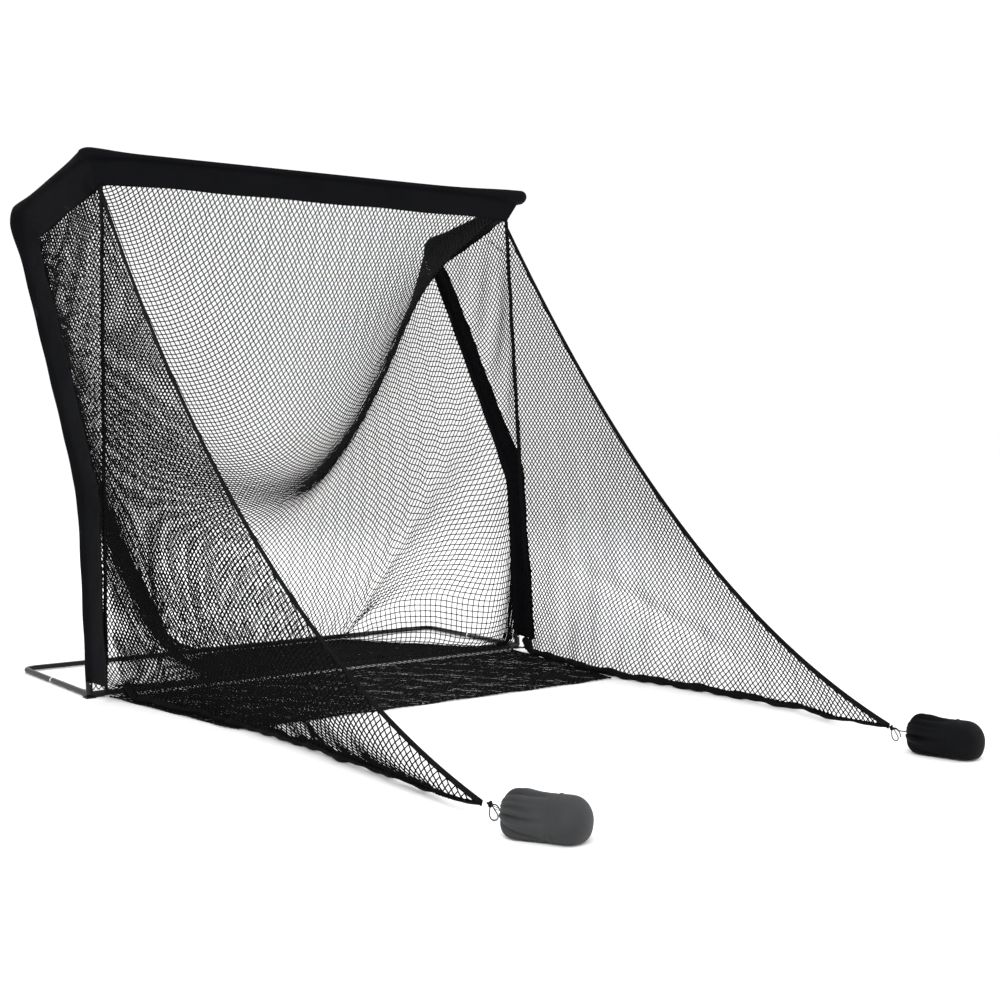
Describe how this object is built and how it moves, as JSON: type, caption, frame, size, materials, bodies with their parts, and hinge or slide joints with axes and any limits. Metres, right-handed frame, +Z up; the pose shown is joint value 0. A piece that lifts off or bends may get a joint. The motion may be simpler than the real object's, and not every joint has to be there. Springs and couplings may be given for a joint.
{
  "type": "golf chipping net",
  "caption": "Free-standing golf practice net: bent steel tube cage with fabric edge covers, draped ball net, floor apron and swinging side barriers held by sandbags.",
  "frame": {"origin": "on the ground, in the middle of the box that the whole set covers", "axes": "+Z up, +Y from the open mouth to the back of the cage, +X to the right of a player who faces the net"},
  "size_m": [2.486, 4.0718, 2.4595],
  "materials": {
    "black_paint": "satin black powder coat",
    "bare_steel": "bare zinc-plated steel",
    "plated_steel": "bright plated",
    "spring_steel": "rolled spring steel",
    "cover_fabric": "matt black woven polyester",
    "net_twine": "black braided twine",
    "hem_cord": "black braided cord",
    "webbing": "black woven webbing",
    "tie_cord": "black cord with a fine braid",
    "bag_fabric": "dark grey coated oxford fabric",
    "sand": "dry sand"
  },
  "bodies": {
    "frame": {"foot_connector_left": "black_paint", "foot_connector_right": "black_paint", "front_bar_left": "black_paint", "front_bar_middle": "black_paint", "front_bar_right": "black_paint", "side_rail_left": "black_paint", "side_rail_right": "black_paint", "rear_corner_left": "black_paint", "rear_corner_right": "black_paint", "rear_bar_middle": "black_paint", "rail_collars": "bare_steel", "tube_spigots": "bare_steel", "lower_upright_left": "black_paint", "lower_upright_right": "black_paint", "upper_upright_left": "black_paint", "upper_upright_right": "black_paint", "top_corner_left": "black_paint", "top_corner_right": "black_paint", "crossbar_middle": "black_paint", "button_springs": "spring_steel", "upright_cover_left": "cover_fabric", "upright_cover_right": "cover_fabric", "arm_cover_left": "cover_fabric", "arm_cover_right": "cover_fabric", "crossbar_cover": "cover_fabric", "back_net": "net_twine", "side_net_left": "net_twine", "side_net_right": "net_twine", "floor_net": "net_twine", "apron_hem": "hem_cord", "seam_webbing_left": "webbing", "seam_webbing_right": "webbing", "top_ties": "tie_cord"},
    "front_button_left": {"front_button_left": "plated_steel"},
    "rear_button_left": {"rear_button_left": "plated_steel"},
    "foot_button_left": {"foot_button_left": "plated_steel"},
    "barrier_left": {"barrier_net_left": "net_twine", "barrier_hem_left": "webbing", "floor_hem_left": "hem_cord", "tip_knot_left": "tie_cord"},
    "sandbag_left": {"sandbag_left": "bag_fabric", "sand_fill_left": "sand", "bag_tie_left": "tie_cord"},
    "front_button_right": {"front_button_right": "plated_steel"},
    "rear_button_right": {"rear_button_right": "plated_steel"},
    "foot_button_right": {"foot_button_right": "plated_steel"},
    "barrier_right": {"barrier_net_right": "net_twine", "barrier_hem_right": "webbing", "floor_hem_right": "hem_cord", "tip_knot_right": "tie_cord"},
    "sandbag_right": {"sandbag_right": "bag_fabric", "sand_fill_right": "sand", "bag_tie_right": "tie_cord"}
  },
  "joints": [
    {"name": "barrier_swing_left", "type": "hinge", "parent": "frame", "child": "barrier_left", "pos_m": [-1.195, 0.9934, 0], "axis": [0, 0, 1], "range_deg": [-50, 18]},
    {"name": "sandbag_swing_left", "type": "hinge", "parent": "barrier_left", "child": "sandbag_left", "pos_m": [-0.985, -1.5956, 0.052], "axis": [0, 0, 1], "range_deg": [-60, 60]},
    {"name": "barrier_swing_right", "type": "hinge", "parent": "frame", "child": "barrier_right", "pos_m": [1.195, 0.9934, 0], "axis": [0, 0, 1], "range_deg": [-18, 50]},
    {"name": "sandbag_swing_right", "type": "hinge", "parent": "barrier_right", "child": "sandbag_right", "pos_m": [0.985, -1.5956, 0.052], "axis": [0, 0, 1], "range_deg": [-60, 60]},
    {"name": "front_button_press_left", "type": "slide", "parent": "frame", "child": "front_button_left", "axis": [0, 1, 0], "range_m": [0, 0.0045], "stiffness_N_per_m": 600, "springref_m": -0.003},
    {"name": "rear_button_press_left", "type": "slide", "parent": "frame", "child": "rear_button_left", "axis": [0, 1, 0], "range_m": [0, 0.0045], "stiffness_N_per_m": 600, "springref_m": -0.003},
    {"name": "foot_button_press_left", "type": "slide", "parent": "frame", "child": "foot_button_left", "axis": [0, 1, 0], "range_m": [0, 0.0045], "stiffness_N_per_m": 600, "springref_m": -0.003},
    {"name": "front_button_press_right", "type": "slide", "parent": "frame", "child": "front_button_right", "axis": [0, 1, 0], "range_m": [0, 0.0045], "stiffness_N_per_m": 600, "springref_m": -0.003},
    {"name": "rear_button_press_right", "type": "slide", "parent": "frame", "child": "rear_button_right", "axis": [0, 1, 0], "range_m": [0, 0.0045], "stiffness_N_per_m": 600, "springref_m": -0.003},
    {"name": "foot_button_press_right", "type": "slide", "parent": "frame", "child": "foot_button_right", "axis": [0, 1, 0], "range_m": [0, 0.0045], "stiffness_N_per_m": 600, "springref_m": -0.003}
  ]
}
